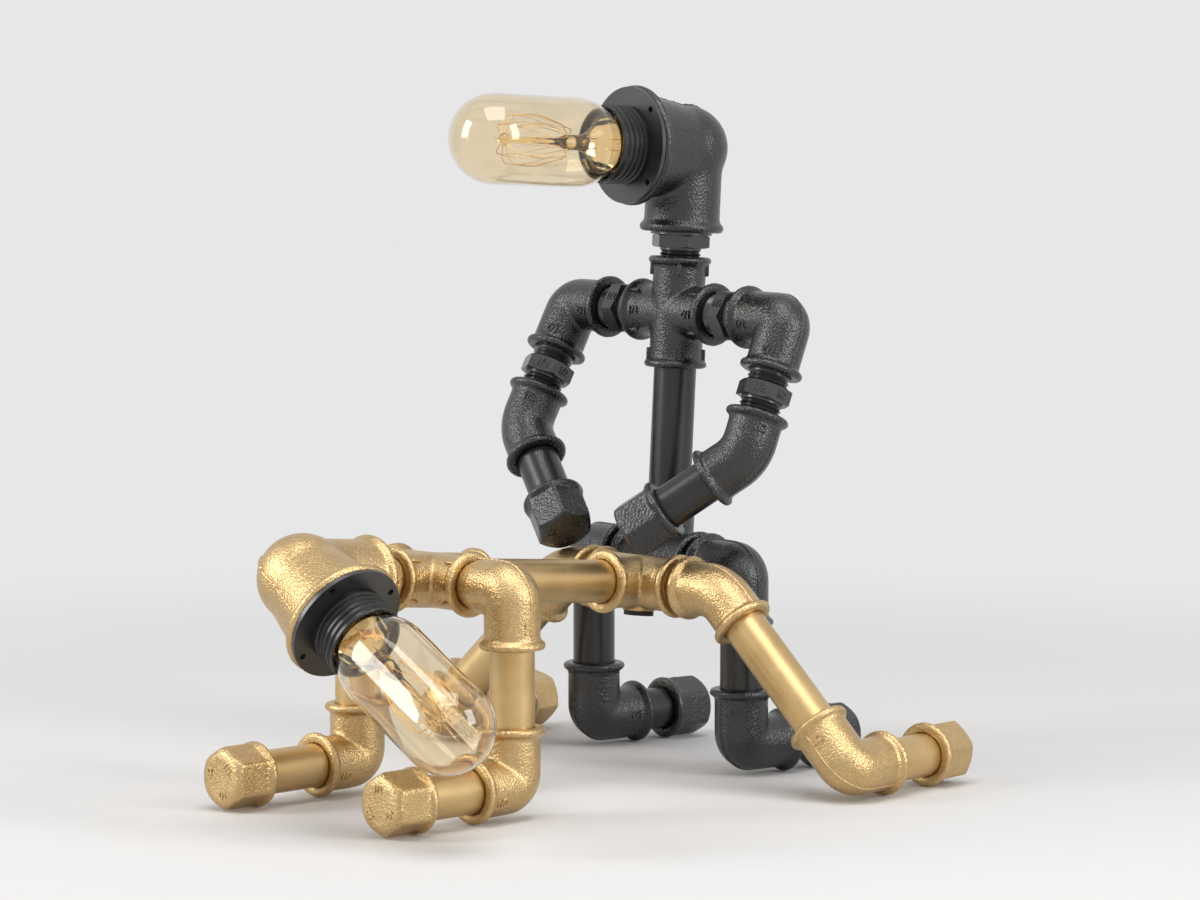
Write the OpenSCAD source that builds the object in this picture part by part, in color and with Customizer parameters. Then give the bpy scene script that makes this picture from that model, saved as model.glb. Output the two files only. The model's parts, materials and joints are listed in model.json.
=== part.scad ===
// Table lamp made of two pipe-fitting figures: one kneels upright, one is on hands and knees.
// X runs towards the front, where the lower figure looks. Y runs to the figures' left, Z runs up.
// Every fitting is a half-inch malleable one, except the large reducing elbows that are the heads.

/* [Half-inch fittings] */
// Outer radius of the pipe
pipe_r = 10.65; // [10.4:0.05:11]
// Depth of the pipe's thread below the pipe's surface
thread_step = 0.25; // [0.2:0.05:0.4]
// Radial clearance between a male thread and its socket
thread_fit = 0.08; // [0.05:0.01:0.1]
// Radius of the waterway through pipes and fittings
bore_r = 7.8; // [6:0.1:8.2]
// Wall of a fitting round its socket
fitting_wall = 2.8; // [2.4:0.1:3.4]
// How far the rolled bead stands out from the fitting
bead_rise = 2.6; // [1.8:0.1:3]
// Width of the rolled bead
bead_w = 4; // [3.4:0.1:5]
// Centre to face of the square elbows, tees and crosses
square_reach = 28; // [26:0.5:32]
// Centre to face of the 45-degree elbows
slant_reach = 22; // [22:0.5:26]
// Bend radius of the square elbows
square_bend = 6; // [4:0.5:7]
// Bend radius of the 45-degree elbows
slant_bend = 20; // [18:1:20]
// Length of thread screwed into a socket
thread_in = 12.6; // [10:0.2:13]
// Pitch of the pipe thread
thread_pitch = 1.81; // [1.4:0.01:2.3]
// Depth of the visible thread's grooves
thread_deep = 1; // [0.6:0.1:1.4]
// Width across the flats of the hex nipples
nipple_flats = 24; // [23:0.5:27]
// Width of the hex on the nipples
nipple_hex_w = 8; // [6:0.5:10]
// Gap between two fittings that a hex nipple joins
nipple_gap = 20.4; // [16:0.2:24]
// Gap between two fittings that a close nipple joins
close_gap = 4.6; // [3:0.2:8]
// Width across the flats of the end caps
cap_flats = 27; // [25:0.5:27.4]
// Length of the end caps
cap_len = 24; // [20:0.5:30]
// Thickness of the end caps' blind end
cap_end = 4; // [2.5:0.5:6]

/* [Upright figure] */
// Distance of the upright figure's pelvis behind the lower figure's chest
upright_back = 174.8; // [165:0.2:180]
// Distance of the upright figure's pelvis to the right of the lower figure's spine
upright_side = 16.8; // [8:0.2:18]
// Turn of the upright figure's hips to its right
upright_turn = 7.5; // [4:0.5:10]
// Backward lean of the torso
torso_lean = 3.2; // [2:0.1:5]
// Pelvis centre to shoulder centre
torso_rise = 124; // [118:0.5:140]
// Turn of the shoulders to the left of the hips
shoulder_turn = 5.9; // [2:0.1:8]
// Visible length of the thigh pipes
upright_thigh = 31; // [26:0.5:45]
// Visible length of the shin pipes
upright_shin = 15.6; // [10:0.2:30]
// Forward swing of the left upper arm
left_swing = 19.2; // [14:0.1:24]
// Forward swing of the right upper arm
right_swing = 26; // [22:0.2:32]
// Forward turn of the left forearm from straight inwards
left_bend_turn = 19.5; // [10:0.5:24]
// Forward turn of the right forearm from straight inwards
right_bend_turn = -11; // [-16:0.5:-6]
// Visible length of the left forearm pipe
left_forearm = 24.9; // [20:0.1:34]
// Visible length of the right forearm pipe
right_forearm = 25.3; // [16:0.1:28]

/* [Lower figure] */
// Height of the lower figure's chest
chest_z = 108; // [100:0.5:120]
// Slope of the lower figure's spine, rising to the front
spine_slope = 5.2; // [3:0.1:8]
// Pelvis centre to chest centre
spine_rise = 140.2; // [132:0.2:150]
// Reach of the shoulder elbow's male end from its centre
street_reach = 39.2; // [36:0.2:44]
// Visible length of the left forearm pipe
low_left_forearm = 32; // [24:0.5:45]
// Visible length of the right forearm pipe
low_right_forearm = 35; // [24:0.5:45]
// Backward slant of the left thigh
low_left_slant = 4.8; // [0:0.1:10]
// Backward slant of the right thigh
low_right_slant = -8; // [-14:0.1:0]
// Visible length of the shin pipes
low_shin = 31; // [20:0.5:45]
// Sideways turn of the head from straight down, towards the left
look_turn = 61; // [58:0.5:75]

/* [Heads] */
// Centre to face of the head elbow's front socket
head_reach = 35.3; // [33:0.1:40]
// Centre to face of the head elbow's neck socket
head_neck = 42.2; // [38:0.1:48]
// Radius of the bead round the front socket
head_bead_r = 30; // [29:0.1:33]
// Radius of the bead round the neck socket
neck_bead_r = 21.2; // [20.4:0.1:23]
// Width of the head elbow's beads
head_bead_w = 5; // [4:0.1:6]
// Wall of the head elbow
head_wall = 2.9; // [2.4:0.1:3.4]
// Radius of the neck socket
neck_socket_r = 16.5; // [15.5:0.1:17]
// Gap between the neck socket and the shoulder fitting
neck_gap = 12; // [10:0.2:16]
// Width of the neck nipple's hex
neck_hex_w = 6.6; // [5:0.2:8]
// Width across the flats of the neck nipple
neck_flats = 26; // [24:0.5:31]
// Turn of the upright figure's head to the right of its shoulders
head_turn = 5.3; // [-10:0.1:10]

/* [Lampholders] */
// Radius of the flange disc
disc_r = 29; // [27:0.1:32]
// Thickness of the flange disc
disc_t = 2; // [1.5:0.1:3]
// Radius of the screw holes in the disc
disc_hole_r = 1.6; // [1:0.1:2.2]
// Number of screw holes in the disc
disc_holes = 4; // [2:1:6]
// Outer radius of the lampholder's threaded skirt
holder_r = 19.6; // [18.8:0.1:20.4]
// Length of the skirt in front of the disc
holder_out = 16; // [12:0.5:20]
// Pitch of the skirt's coarse thread
skirt_pitch = 3.2; // [2.4:0.1:4]
// Wall of the lampholder
holder_wall = 1.9; // [1.4:0.1:2.2]
// Radius of the brass screw shell's inside
shell_r = 13.3; // [13:0.05:13.6]
// Wall of the screw shell
shell_t = 0.5; // [0.4:0.1:0.8]

/* [Bulbs] */
// Radius of the tubular glass
glass_r = 22.2; // [20:0.1:23]
// Length of the glass beyond the lampholder
glass_out = 88; // [76:1:110]
// Wall of the glass
glass_t = 0.8; // [0.6:0.1:1.2]
// Radius of the glass where it enters the lampholder
glass_neck_r = 17; // [15.6:0.1:17.4]
// Radial clearance of the screw cap in its shell
cap_fit = 0.08; // [0.05:0.01:0.1]
// Length of the screw cap
screw_len = 18; // [16:0.5:20]
// Number of upright runs in the filament cage
filament_runs = 8; // [6:2:12]
// Radius of the support wires and the filament
wire_r = 0.35; // [0.3:0.05:0.5]

/* [Cord inlets] */
// Radius of the hole through the rubber grommet
inlet_r = 3.6; // [2.5:0.1:4]
// Wall of the grommet
inlet_wall = 1.6; // [1.2:0.1:2]
// Radius of the grommet's outer flange
inlet_flange_r = 7.4; // [6.6:0.1:8]
// Thickness of the grommet's outer flange
inlet_flange_t = 2; // [1.5:0.1:3]

/* [Hidden] */
$fn = 48;

// Fitting sizes that follow from the driving ones
thread_r = pipe_r - thread_step;
socket_r = thread_r + thread_fit;
socket_deep = thread_in + 0.6;
body_r = socket_r + fitting_wall;
bead_r = body_r + bead_rise;
branch_r = body_r - 0.15;
face_inset = 0.1;
bend_step = 0.02;
cap_hex_r = cap_flats / sqrt(3);
cap_face_r = cap_flats / 2 - 3.5;
cap_rim_r = cap_flats / 2 - 1;
cap_edge_z = cap_len - 4;
cap_rim_z = cap_len - 0.6;
boss_r = inlet_flange_r + 0.8;
boss_reach = body_r + 1.2;
grommet_r = inlet_r + inlet_wall;
grommet_fit = 0.05;
boss_start = bore_r + 2;
grommet_start = bore_r + 1.4;

// Head elbow sizes
head_body_r = head_bead_r - 2.6;
neck_body_r = neck_socket_r + head_wall - 0.4;
neck_deep = 15;
neck_thread_r = neck_socket_r - thread_fit;
ball_r = neck_body_r + 2.5;
ball_bore_r = ball_r - head_wall - 1;

// Lampholder and bulb stations along the head's front axis
disc_z = head_reach;
skirt_z = disc_z + disc_t;
rim_z = skirt_z + holder_out;
holder_back = disc_z - 12;
shell_z = holder_back + 4;
shell_len = 19;
contact_r = 2.4;
screw_z = shell_z + 1.5;
screw_r = shell_r - cap_fit;
seal_z = screw_z + screw_len;
tip_z = rim_z + glass_out;
dome_z = tip_z - glass_r;
skirt_root_r = holder_r - 1.1;
lip_r = holder_r - 0.4;
barrel_r = shell_r + shell_t + 2;
collar_r = holder_r + 2.4;
collar_z = disc_z - 3;
disc_bore_r = holder_r - 1.4;
disc_fit = 0.1;

// Stations of the bulb's stem and filament cage
seal_r = screw_r - 2.1;
glass_foot_z = seal_z - 10;
stem_foot_z = glass_foot_z + glass_t;
stem_foot_r = seal_r - glass_t - 0.5;
pinch_r = 3.4;
rod_r = 1.5;
button_r = 3;
pinch_z = rim_z + 16;
button_z = dome_z - 6;
cage_low_r = 7;
cage_high_r = 10;
cage_low_z = pinch_z + 8;
cage_high_z = button_z - 6;
wire_gap = 0.15;

// Upright figure: joint heights
knee_z = bead_r;
hip_z = knee_z + 2 * square_reach + upright_thigh;
hip_out = 2 * square_reach + close_gap;
shoulder_out = 2 * square_reach + nipple_gap;
head_rise = square_reach + neck_gap + head_neck;
arm_drop = square_reach + nipple_gap + slant_reach;

// Lower figure: joint places
low_shoulder_out = square_reach + street_reach - thread_in;
wrist_z = bead_r;
low_pelvis_z = chest_z - spine_rise * sin(spine_slope);
low_pelvis_x = -spine_rise * cos(spine_slope);
low_hip_out = square_reach + close_gap + slant_reach;
low_head_rise = square_reach + neck_gap + head_neck;

// The model's origin lies on the table under the middle of its outline.
// Foremost is the front bead of the lower head, and hindmost the upright figure's right foot cap.
look_rise = sin(spine_slope) * cos(look_turn);
look_bead_r = (head_bead_r - head_bead_w / 2) * sqrt(1 - pow(look_rise, 2)) + head_bead_w / 2;
front_x = low_head_rise * cos(spine_slope) + (head_reach - head_bead_w / 2) * look_rise + look_bead_r;
foot_reach = square_reach + upright_shin + cap_len;
right_hip_back = upright_back + hip_out * sin(upright_turn);
back_x = right_hip_back + foot_reach * cos(upright_turn) + cap_face_r * sin(upright_turn);
// Each lower leg reaches furthest out with its knee's bead or, if the shin turns out, its cap's corner
function leg_out(slant) =
    let (
        turn = atan(sin(slant)),
        knee = low_hip_out + (low_pelvis_z - knee_z) / cos(slant),
        bead_out = (bead_r - bead_w / 2) * cos(turn) + bead_w / 2 - (square_reach - bead_w / 2) * sin(turn),
        corner_out = cap_hex_r * cos(15) * cos(turn) - (square_reach + low_shin + cap_edge_z) * sin(turn)
    )
    knee + max(bead_out, corner_out);
origin_x = (front_x - back_x) / 2;
origin_y = (leg_out(low_left_slant) - leg_out(low_right_slant)) / 2;

// ---- Placing helpers ----

function shift(v) = [[1, 0, 0, v.x], [0, 1, 0, v.y], [0, 0, 1, v.z], [0, 0, 0, 1]];
function turn_y(a) = [[cos(a), 0, sin(a), 0], [0, 1, 0, 0], [-sin(a), 0, cos(a), 0], [0, 0, 0, 1]];
function turn_z(a) = [[cos(a), -sin(a), 0, 0], [sin(a), cos(a), 0, 0], [0, 0, 1, 0], [0, 0, 0, 1]];
// A frame at point o whose X and Z axes run along x and z
function axes(o, x, z) =
    let (y = cross(z, x))
    [[x.x, y.x, z.x, o.x], [x.y, y.y, z.y, o.y], [x.z, y.z, z.z, o.z], [0, 0, 0, 1]];

// ---- Frames of the upright figure; side is 1 on the left and -1 on the right ----

lamp_frame = shift([-origin_x, -origin_y, 0]);
hips_frame = lamp_frame * shift([-upright_back, -upright_side, hip_z]) * turn_z(-upright_turn);
torso_frame = hips_frame * turn_y(-torso_lean);
chest_frame = torso_frame * shift([0, 0, torso_rise]) * turn_z(shoulder_turn);
black_head_frame = chest_frame * shift([0, 0, head_rise]) * turn_z(-head_turn);
function swing(side) = side > 0 ? left_swing : right_swing;
function bend_turn(side) = side > 0 ? left_bend_turn : right_bend_turn;
function forearm(side) = side > 0 ? left_forearm : right_forearm;
function shoulder_frame(side) = chest_frame * shift([0, side * shoulder_out, 0]) * turn_y(-swing(side));
function bend_way(side) = [sin(bend_turn(side)), -side * cos(bend_turn(side)), 0];
function arm_bend_frame(side) =
    shoulder_frame(side) * shift([0, 0, -arm_drop]) * axes([0, 0, 0], bend_way(side), [0, 0, 1]);
function knee_frame(side) =
    hips_frame * shift([0, side * hip_out, knee_z - hip_z]) * axes([0, 0, 0], [-1, 0, 0], [0, 0, 1]);

// ---- Frames of the lower figure ----

low_chest_frame = lamp_frame * shift([0, 0, chest_z]) * turn_y(-spine_slope);
low_pelvis_frame = lamp_frame * shift([low_pelvis_x, 0, low_pelvis_z]);
gold_head_frame = low_chest_frame
    * axes([low_head_rise, 0, 0], [0, sin(look_turn), -cos(look_turn)], [1, 0, 0]);
function low_shoulder_frame(side) = lamp_frame * shift([0, side * low_shoulder_out, chest_z]);
function wrist_frame(side) = lamp_frame * shift([0, side * low_shoulder_out, wrist_z]);
function low_forearm(side) = side > 0 ? low_left_forearm : low_right_forearm;
function slant(side) = side > 0 ? low_left_slant : low_right_slant;
function thigh_way(side) =
    [-sin(45) * sin(slant(side)), side * sin(45), -sin(45) * cos(slant(side))];
function shin_way(side) =
    let (a = atan(sin(slant(side)))) [-cos(a), -side * sin(a), 0];
function thigh_len(side) = (low_pelvis_z - knee_z) / (sin(45) * cos(slant(side)));
function low_hip_frame(side) =
    low_pelvis_frame
    * axes(
        [0, side * low_hip_out, 0],
        [-sin(slant(side)), 0, -cos(slant(side))],
        [0, -side, 0]
    );
function low_knee_frame(side) =
    low_pelvis_frame
    * axes(
        [0, side * low_hip_out, 0] + thigh_len(side) * thigh_way(side),
        shin_way(side),
        -thigh_way(side)
    );

// ---- Shapes shared by the fittings; a port faces +Z and its face is at the given reach ----

// Rolled bead with its face at z = 0
module bead(r, w) {
    translate([0, 0, -w / 2]) rotate_extrude() translate([r - w / 2, 0]) circle(w / 2);
}

// Outside of one socket, from z = start to the face
module port(start, reach, r = body_r) {
    translate([0, 0, start]) cylinder(r = r, h = reach - face_inset - start);
    translate([0, 0, reach]) bead(bead_r, bead_w);
}

// Threaded socket and waterway behind one face
module port_bore(reach, start = 0, waterway = bore_r) {
    translate([0, 0, start]) cylinder(r = waterway, h = reach - start);
    translate([0, 0, reach - socket_deep]) cylinder(r = socket_r, h = socket_deep + 1);
}

// Bend from the +Z leg to the leg that leaves at the given turn towards +X
module bend(radius, r, turn) {
    translate([radius, 0, radius * tan(turn / 2)]) rotate([90, 0, 0]) rotate([0, 0, 180])
        rotate_extrude(angle = turn) intersection() {
            translate([radius, 0]) circle(r);
            translate([0, -r - 1]) square([radius + r + 1, 2 * r + 2]);
        }
}

// Square elbow with ports along +Z and +X
module square_elbow() {
    difference() {
        union() {
            bend(square_bend, body_r, 90);
            for (a = [0, 90]) rotate([0, a, 0]) port(square_bend, square_reach);
        }
        sphere(r = bore_r + 0.2);
        for (a = [0, 90]) rotate([0, a, 0]) port_bore(square_reach);
    }
}

// 45-degree elbow with ports along +Z and, bent towards +X, along the 135-degree line
module slant_elbow() {
    straight = slant_bend * tan(22.5);
    difference() {
        union() {
            bend(slant_bend, body_r, 45);
            for (a = [0, 135]) rotate([0, a, 0]) port(straight - bend_step, slant_reach, body_r - bend_step);
        }
        sphere(r = bore_r + 0.2);
        for (a = [0, 135]) rotate([0, a, 0]) port_bore(slant_reach);
    }
}

// Square elbow with a socket along +X and a plain threaded male end along +Z
module street_elbow() {
    taper_z = square_bend + 12;
    shank_z = street_reach - thread_in - 0.5;
    difference() {
        union() {
            bend(square_bend, body_r, 90);
            rotate([0, 90, 0]) port(square_bend, square_reach);
            translate([0, 0, square_bend]) cylinder(r = body_r, h = taper_z - square_bend);
            translate([0, 0, taper_z]) cylinder(r1 = body_r, r2 = thread_r + 0.6, h = shank_z - taper_z);
            translate([0, 0, shank_z]) cylinder(r = thread_r, h = street_reach - shank_z);
        }
        sphere(r = bore_r + 0.2);
        cylinder(r = bore_r, h = street_reach + 1);
        rotate([0, 90, 0]) port_bore(square_reach);
    }
}

// Tee with its run along Z and its branch along +X
module tee() {
    difference() {
        union() {
            for (a = [0, 180]) rotate([a, 0, 0]) port(-1, square_reach);
            rotate([0, 90, 0]) port(0, square_reach, branch_r);
        }
        for (a = [0, 180]) rotate([a, 0, 0]) port_bore(square_reach, -1);
        rotate([0, 90, 0]) port_bore(square_reach, 0, bore_r - 0.2);
    }
}

// Turns what is drawn along +Z to point out of the tee's side, at the given turn from its branch
module out_of_side(turn) {
    rotate([0, 0, turn]) rotate([0, 90, 0]) children();
}

// Pelvis tee: a tee with a flat boss and a hole for the grommet in its side
module inlet_tee(turn) {
    difference() {
        union() {
            tee();
            out_of_side(turn) translate([0, 0, boss_start]) cylinder(r = boss_r, h = boss_reach - boss_start);
        }
        out_of_side(turn) cylinder(r = grommet_r + grommet_fit, h = boss_reach + 1);
    }
}

// Rubber grommet whose flange sits on the boss
module grommet(turn) {
    flange_start = boss_reach + grommet_fit;
    out_of_side(turn) difference() {
        union() {
            translate([0, 0, grommet_start])
                cylinder(r = grommet_r, h = flange_start + grommet_fit - grommet_start);
            translate([0, 0, flange_start]) cylinder(r = inlet_flange_r, h = inlet_flange_t);
        }
        translate([0, 0, bore_r]) cylinder(r = inlet_r, h = boss_reach + inlet_flange_t);
    }
}

// Cross with ports along both ways of Z and of Y
module pipe_cross() {
    difference() {
        union() {
            for (a = [0, 180]) rotate([a, 0, 0]) port(-1, square_reach);
            for (a = [90, -90]) rotate([a, 0, 0]) port(0, square_reach, branch_r);
        }
        for (a = [0, 180]) rotate([a, 0, 0]) port_bore(square_reach, -1);
        for (a = [90, -90]) rotate([a, 0, 0]) port_bore(square_reach, -1, bore_r - 0.2);
    }
}

// Saw-tooth outline of visible thread between two stations
function teeth(z0, z1, crest) =
    let (n = max(1, round((z1 - z0) / thread_pitch)), step = (z1 - z0) / n)
    [for (i = [0:n - 1]) each [[crest - thread_deep, z0 + i * step], [crest, z0 + (i + 0.5) * step]]];

// Straight run between two sockets: threaded ends and a middle of the given half length
module threaded_body(half, middle) {
    rotate_extrude() polygon(concat(
        [[bore_r, -half - thread_in], [thread_r, -half - thread_in], [thread_r, -half]],
        middle,
        [[thread_r, half], [thread_r, half + thread_in], [bore_r, half + thread_in]]
    ));
}

// Pipe along Z from z = 0, with its visible length between two sockets
module pipe(visible) {
    half = visible / 2;
    translate([0, 0, half]) threaded_body(half, [[pipe_r, -half], [pipe_r, half]]);
}

// Hexagon with chamfered corners, centred on z = 0
module hex(flats, w) {
    corner = flats / sqrt(3);
    intersection() {
        cylinder(r = corner, h = w, center = true, $fn = 6);
        rotate_extrude() polygon([
            [0, -w], [flats / 2 - 0.2, -w / 2], [corner + 1, 1 - w / 2],
            [corner + 1, w / 2 - 1], [flats / 2 - 0.2, w / 2], [0, w]
        ]);
    }
}

// Hex nipple along Z, centred on z = 0
module hex_nipple() {
    half = nipple_gap / 2;
    flank = nipple_hex_w / 2;
    union() {
        threaded_body(half, concat(
            teeth(-half, -flank, thread_r), [[thread_r, -flank], [thread_r, flank]],
            teeth(flank, half, thread_r)
        ));
        difference() {
            hex(nipple_flats, nipple_hex_w);
            cylinder(r = thread_r - 1, h = nipple_hex_w + 1, center = true);
        }
    }
}

// Close nipple along Z, centred on z = 0
module close_nipple() {
    half = close_gap / 2;
    threaded_body(half, teeth(-half, half, thread_r));
}

// End cap with its open face at z = 0 and its blind end at z = cap_len
module end_cap() {
    difference() {
        union() {
            translate([0, 0, face_inset]) cylinder(r = body_r, h = bead_w);
            translate([0, 0, bead_w]) bead(bead_r, bead_w);
            intersection() {
                translate([0, 0, bead_w - 1]) cylinder(r = cap_hex_r, h = cap_len, $fn = 6);
                rotate_extrude() polygon([
                    [0, 0], [cap_hex_r + 1, 0], [cap_hex_r + 1, cap_edge_z],
                    [cap_rim_r, cap_rim_z], [cap_face_r, cap_len], [0, cap_len]
                ]);
            }
        }
        translate([0, 0, -1]) cylinder(r = socket_r, h = socket_deep + 1);
        cylinder(r = bore_r, h = cap_len - cap_end);
    }
}

// Reducing nipple along Z: half-inch end in the shoulder at z = 0, large end in the neck socket
module neck_nipple() {
    hex_top = neck_gap - 1.2;
    hex_base = hex_top - neck_hex_w;
    difference() {
        union() {
            rotate_extrude() polygon(concat(
                [[0, -thread_in], [thread_r, -thread_in], [thread_r, 0]],
                teeth(0, hex_base, thread_r),
                [[thread_r, hex_base], [thread_r, hex_top], [neck_thread_r - 1, hex_top],
                [neck_thread_r - 1, neck_gap - 0.2], [neck_thread_r, neck_gap],
                [neck_thread_r, neck_gap + neck_deep - 1], [0, neck_gap + neck_deep - 1]]
            ));
            translate([0, 0, (hex_base + hex_top) / 2]) hex(neck_flats, neck_hex_w);
        }
        translate([0, 0, -thread_in - 1]) cylinder(r = bore_r, h = thread_in + neck_gap + neck_deep + 1);
    }
}

// Reducing elbow: neck socket along -Z, large front socket along +X
module head_elbow() {
    cone_r = ball_r - 1;
    difference() {
        union() {
            sphere(r = ball_r);
            rotate([180, 0, 0]) {
                cylinder(r = neck_body_r, h = head_neck - face_inset);
                translate([0, 0, head_neck]) bead(neck_bead_r, head_bead_w);
            }
            rotate([0, 90, 0]) {
                cylinder(r1 = cone_r, r2 = head_body_r, h = head_reach - face_inset);
                translate([0, 0, head_reach]) bead(head_bead_r, head_bead_w);
            }
        }
        sphere(r = ball_bore_r);
        rotate([180, 0, 0]) {
            cylinder(r = neck_socket_r - 1.5, h = head_neck);
            translate([0, 0, head_neck - neck_deep]) cylinder(r = neck_socket_r, h = neck_deep + 1);
        }
        rotate([0, 90, 0])
            cylinder(r1 = cone_r - head_wall, r2 = head_body_r - head_wall, h = head_reach + 0.1);
    }
}

// ---- Lampholder and bulb along +Z, with z measured from the head's centre ----

module flange_disc() {
    hole_ring_r = (disc_r + holder_r) / 2 + 1;
    translate([0, 0, disc_z]) difference() {
        cylinder(r = disc_r, h = disc_t);
        translate([0, 0, -1]) cylinder(r = disc_bore_r, h = disc_t + 2);
        for (i = [0:disc_holes - 1]) rotate([0, 0, 45 + i * 360 / disc_holes])
            translate([hole_ring_r, 0, -1]) cylinder(r = disc_hole_r, h = disc_t + 2);
    }
}

// Coarse thread of the skirt: flat roots and flat crests
function skirt_teeth(z0, z1) =
    let (n = max(1, round((z1 - z0) / skirt_pitch)), step = (z1 - z0) / n)
    [for (i = [0:n - 1]) each [
        [skirt_root_r, z0 + i * step], [skirt_root_r, z0 + (i + 0.3) * step],
        [holder_r, z0 + (i + 0.5) * step], [holder_r, z0 + (i + 0.8) * step]
    ]];

module lampholder() {
    rotate_extrude() polygon(concat(
        [[0, holder_back], [barrel_r, holder_back], [barrel_r, collar_z],
        [collar_r, collar_z], [collar_r, disc_z], [disc_bore_r - disc_fit, disc_z],
        [disc_bore_r - disc_fit, skirt_z]],
        skirt_teeth(skirt_z, rim_z - 1.4),
        [[skirt_root_r, rim_z - 1.4], [lip_r, rim_z - 1], [lip_r, rim_z],
        [holder_r - holder_wall, rim_z], [holder_r - holder_wall, shell_z + shell_len],
        [shell_r + shell_t, shell_z + shell_len], [shell_r + shell_t, shell_z], [0, shell_z]]
    ));
}

// Threaded shell with the centre contact on its floor
module screw_shell() {
    translate([0, 0, shell_z]) {
        difference() {
            cylinder(r = shell_r + shell_t, h = shell_len);
            translate([0, 0, shell_t]) cylinder(r = shell_r, h = shell_len);
        }
        translate([0, 0, shell_t]) cylinder(r = contact_r, h = screw_z - shell_z - shell_t);
    }
}

// Screw cap: rounded base with its contact button, four turns of thread and a plain rim
module bulb_cap() {
    root_r = screw_r - 1.2;
    lip = 3.4;
    turn = (screw_len - lip) / 4;
    floor_z = screw_z + 3.6;
    rotate_extrude() polygon(concat(
        [[0, screw_z], [3.5, screw_z], [5, screw_z + 1.2], [9, screw_z + 2], [root_r, screw_z + lip]],
        [for (i = [0:3]) each [
            [screw_r, screw_z + lip + (i + 0.5) * turn], [root_r, screw_z + lip + (i + 1) * turn]
        ]],
        [[root_r, seal_z + 2], [root_r - 0.8, seal_z + 2], [root_r - 0.8, floor_z], [0, floor_z]]
    ));
}

// Outline of the glass from its foot in the cap to its round tip, drawn in by inset
function glass_outline(inset) =
    concat(
        [[0, glass_foot_z + inset], [seal_r - inset, glass_foot_z + inset], [seal_r - inset, seal_z + 2.2],
        [glass_neck_r - 1.5 - inset, rim_z - 4], [glass_neck_r - inset, rim_z],
        [glass_r - 1.6 - inset, rim_z + 7], [glass_r - 0.4 - inset, rim_z + 11],
        [glass_r - inset, rim_z + 16]],
        [for (a = [0:9:81]) [(glass_r - inset) * cos(a), dome_z + (glass_r - inset) * sin(a)]],
        [[0, dome_z + glass_r - inset]]
    );

module bulb_glass() {
    difference() {
        rotate_extrude() polygon(glass_outline(0));
        rotate_extrude() polygon(glass_outline(glass_t));
    }
}

// Flare in the neck, glass rod up the middle and the button at its end
module bulb_stem() {
    rotate_extrude() polygon([
        [0, stem_foot_z], [stem_foot_r, stem_foot_z], [stem_foot_r - 1.5, stem_foot_z + 6],
        [pinch_r + 0.8, pinch_z - 8], [pinch_r, pinch_z], [rod_r, pinch_z + 4],
        [rod_r, button_z - 3], [button_r, button_z - 1], [button_r, button_z + 1], [rod_r, button_z + 3],
        [0, button_z + 3]
    ]);
}

// Straight round wire between two points
module wire(p, q) {
    way = q - p;
    length = norm(way);
    translate(p) rotate([0, acos(way.z / length), atan2(way.y, way.x)]) cylinder(r = wire_r, h = length);
}

function on_ring(i, r, z) = let (a = i * 360 / filament_runs) [r * cos(a), r * sin(a), z];
function cage_point(i, high) =
    high ? on_ring(i, cage_high_r, cage_high_z) : on_ring(i, cage_low_r, cage_low_z);

// Two lead wires, the cage's runs, the bars that join them in turn and the wires that hold them
module bulb_filament() {
    last = filament_runs - 1;
    for (i = [0:last], high = [false, true]) translate(cage_point(i, high)) sphere(r = wire_r * 1.3);
    for (i = [0:last]) wire(cage_point(i, false), cage_point(i, true));
    for (i = [0:last - 1]) wire(cage_point(i, i % 2 == 0), cage_point(i + 1, i % 2 == 0));
    for (i = [0, last]) wire(on_ring(i, pinch_r + wire_r + wire_gap, pinch_z), cage_point(i, false));
    for (i = [1:2:last]) wire(on_ring(i, rod_r + wire_r + wire_gap, cage_high_z - 2), cage_point(i, true));
}

// ---- Colours ----

module black() { color([0.07, 0.07, 0.08]) children(); }
module gold() { color([0.78, 0.6, 0.3]) children(); }
module phenolic() { color([0.03, 0.03, 0.03]) children(); }
module brass() { color([0.8, 0.65, 0.3]) children(); }
module amber() { color([0.9, 0.65, 0.3, 0.4]) children(); }
module rubber() { color([0.05, 0.05, 0.05]) children(); }

// ---- Upright figure ----

// A run along Y through the hips, with the tee's branch along the torso
tee_axes = axes([0, 0, 0], [0, 0, 1], [0, 1, 0]);
along_x = axes([0, 0, 0], [0, 0, -1], [1, 0, 0]);

module black_pelvis_tee() { black() multmatrix(torso_frame * tee_axes) inlet_tee(-90); }
module black_cord_grommet() { rubber() multmatrix(torso_frame * tee_axes) grommet(-90); }
module black_hip_nipples() {
    black() for (side = [1, -1])
        multmatrix(hips_frame) translate([0, side * (square_reach + close_gap / 2), 0])
            rotate([90, 0, 0]) close_nipple();
}
module black_hip_elbows() {
    black() for (side = [1, -1])
        multmatrix(hips_frame * axes([0, side * hip_out, 0], [0, -side, 0], [0, 0, -1])) square_elbow();
}
module black_thigh_pipes() {
    black() for (side = [1, -1])
        multmatrix(knee_frame(side)) translate([0, 0, square_reach]) pipe(upright_thigh);
}
module black_knee_elbows() { black() for (side = [1, -1]) multmatrix(knee_frame(side)) square_elbow(); }
module black_shin_pipes() {
    black() for (side = [1, -1])
        multmatrix(knee_frame(side)) rotate([0, 90, 0]) translate([0, 0, square_reach]) pipe(upright_shin);
}
module black_foot_caps() {
    black() for (side = [1, -1])
        multmatrix(knee_frame(side)) rotate([0, 90, 0])
            translate([0, 0, square_reach + upright_shin]) end_cap();
}
module black_torso_pipe() {
    black() multmatrix(torso_frame) translate([0, 0, square_reach]) pipe(torso_rise - 2 * square_reach);
}
module black_shoulder_cross() { black() multmatrix(chest_frame) pipe_cross(); }
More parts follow.
